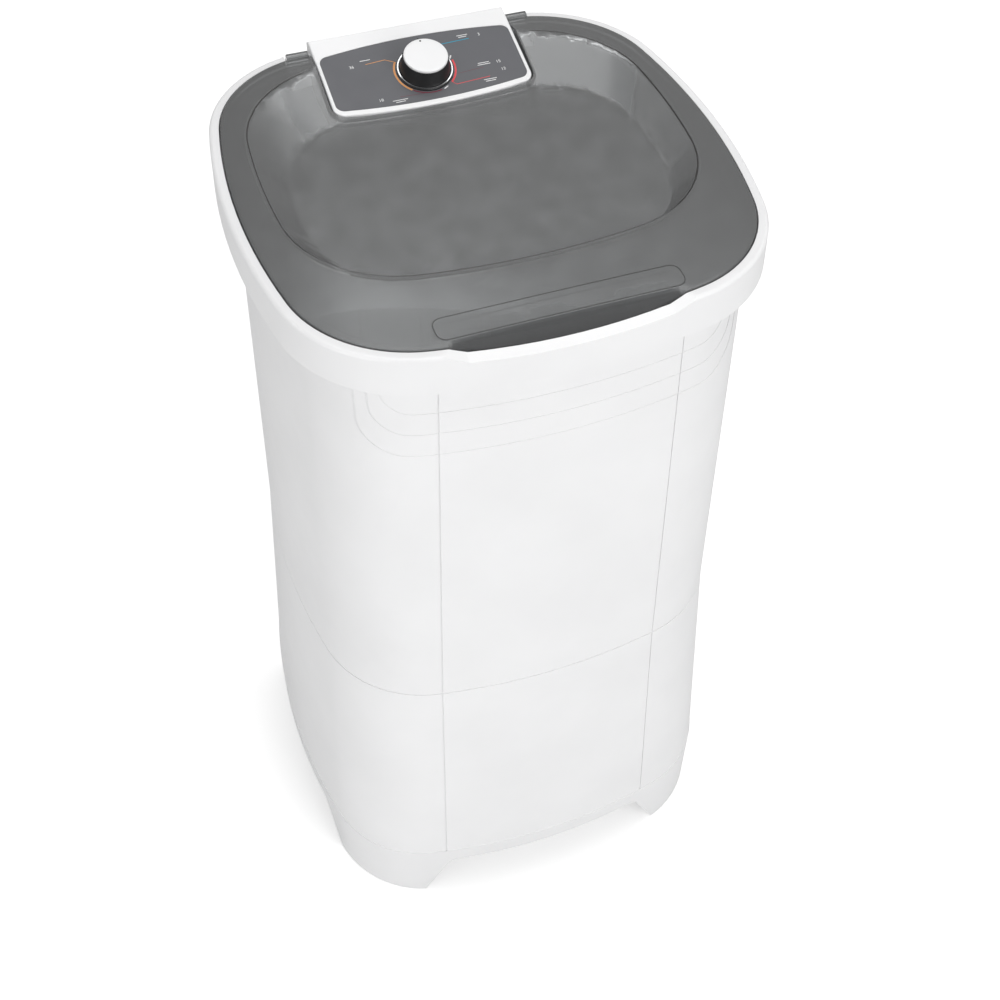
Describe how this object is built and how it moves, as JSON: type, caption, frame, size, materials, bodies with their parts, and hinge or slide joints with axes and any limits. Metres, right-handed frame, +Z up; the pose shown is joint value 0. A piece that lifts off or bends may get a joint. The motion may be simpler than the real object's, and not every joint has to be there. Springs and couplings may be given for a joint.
{
  "type": "semi-automatic washing machine",
  "caption": "Tall top-loading semi-automatic washer: flared white cabinet on arched feet, smoked hinged lid, sloped console with timer knob, hung tub and belt-driven impeller.",
  "frame": {"origin": "on the floor under the middle of the machine, at the foot pads' undersides", "axes": "+Z up, front (lid's lip) at -Y, console and hinges at +Y, +X to the right seen from the front"},
  "size_m": [0.5334, 0.5436, 0.9713],
  "materials": {
    "white_plastic": "smooth moulded white plastic",
    "smoked_plastic": "smoked see-through plastic",
    "dark_plastic": "dark moulded plastic",
    "overlay": "dark printed overlay",
    "bright_ring": "plated bright",
    "tub_plastic": "plain moulded plastic",
    "impeller_plastic": "smooth moulded plastic",
    "rubber": "plain rubber",
    "steel": "zinc plated",
    "aluminium": "die cast",
    "laminations": "stacked sheet, varnished",
    "windings": "varnished copper wire",
    "bronze": "sintered bronze",
    "pulley_plastic": "glass filled plastic"
  },
  "bodies": {
    "cabinet": {"cabinet": "white_plastic", "top_rim": "white_plastic", "console_housing": "white_plastic", "console_base": "white_plastic", "hinge_pins": "white_plastic", "foot_pads": "rubber", "rim_screws": "steel", "tub": "tub_plastic", "console_screws": "steel", "control_panel": "overlay", "timer_cover": "dark_plastic", "timer": "dark_plastic", "timer_screws": "steel", "knob_bezel": "dark_plastic", "knob_trim_ring": "bright_ring", "bearing_housing": "aluminium", "bearing_gasket": "rubber", "bearing_screws": "steel", "shaft_bushes": "bronze", "shaft_seal": "rubber", "drive_belt": "rubber", "motor_bracket": "steel", "bracket_screws": "steel", "motor_mounts": "rubber", "motor_screws": "steel", "motor_upper_shield": "aluminium", "motor_lower_shield": "aluminium", "motor_stator": "laminations", "motor_windings": "windings", "capacitor": "dark_plastic", "capacitor_clip": "steel", "drain_hose": "rubber", "hose_clamps": "steel", "drain_spigot": "tub_plastic", "spigot_nut": "tub_plastic", "cord_grommet": "rubber"},
    "lid": {"lid": "smoked_plastic"},
    "knob": {"knob_skirt": "dark_plastic", "knob_cap": "white_plastic", "timer_shaft": "steel"},
    "impeller": {"impeller": "impeller_plastic", "impeller_bolt": "steel", "impeller_cap": "impeller_plastic", "impeller_shaft": "steel", "shaft_clip": "steel", "driven_pulley": "pulley_plastic", "pulley_nut": "steel"},
    "motor_rotor": {"motor_rotor": "steel", "motor_pulley": "aluminium", "motor_fan": "pulley_plastic"},
    "lint_filter": {"lint_filter": "tub_plastic"}
  },
  "joints": [
    {"name": "lid_hinge", "type": "hinge", "parent": "cabinet", "child": "lid", "pos_m": [0, 0.232, 0.9495], "axis": [-1, 0, 0], "range_deg": [0, 95]},
    {"name": "knob_turn", "type": "hinge", "parent": "cabinet", "child": "knob", "pos_m": [0, 0.175, 0.9466], "axis": [0, 0.2402, -0.9707], "range_deg": [0, 330]},
    {"name": "impeller_spin", "type": "hinge", "parent": "cabinet", "child": "impeller", "pos_m": [0, 0, 0.3], "axis": [0, 0, 1], "continuous": true},
    {"name": "motor_spin", "type": "hinge", "parent": "cabinet", "child": "motor_rotor", "pos_m": [0.12162, 0.12162, 0.3], "axis": [0, 0, 1], "continuous": true},
    {"name": "filter_lift", "type": "slide", "parent": "cabinet", "child": "lint_filter", "axis": [0, 0, 1], "range_m": [0, 0.14]}
  ],
  "couplings": [
    {"joint": "motor_spin", "follows": "impeller_spin", "ratio": 5.5778}
  ]
}
